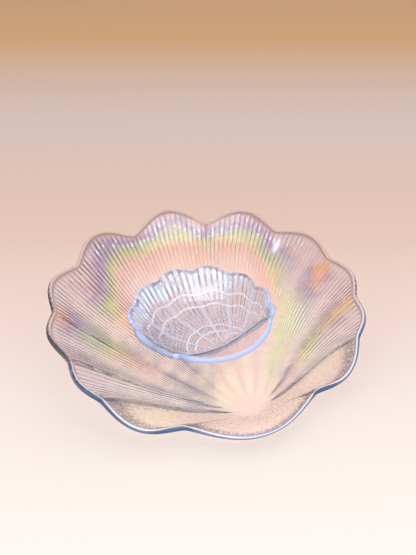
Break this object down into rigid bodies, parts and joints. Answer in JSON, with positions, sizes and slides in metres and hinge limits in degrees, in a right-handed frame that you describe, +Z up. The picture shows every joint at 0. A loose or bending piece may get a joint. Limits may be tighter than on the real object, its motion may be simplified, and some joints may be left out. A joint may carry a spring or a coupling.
{
  "type": "chip and dip server",
  "caption": "Scallop-shell platter in pressed glass with a pearl lustre, and a small loose shell bowl for the dip standing on its floor.",
  "frame": {"origin": "on the table, under the middle of the platter's box", "axes": "+Z up, +Y from the hinge end towards the middle lobe, +X to the right across the platter's width"},
  "size_m": [0.3548, 0.3532, 0.0722],
  "materials": {
    "lustre_glass": "pressed clear glass with an iridescent mother-of-pearl lustre, finely ribbed on its upper face",
    "clear_glass": "pressed clear glass with a cool blue cast at its rim and ridges, fire polished"
  },
  "bodies": {
    "platter": {"platter": "lustre_glass"},
    "dip_bowl": {"dip_bowl": "clear_glass"}
  },
  "joints": [
    {"name": "lift", "type": "slide", "parent": "platter", "child": "dip_bowl", "axis": [0, 0, 1], "range_m": [0, 0.12]}
  ]
}
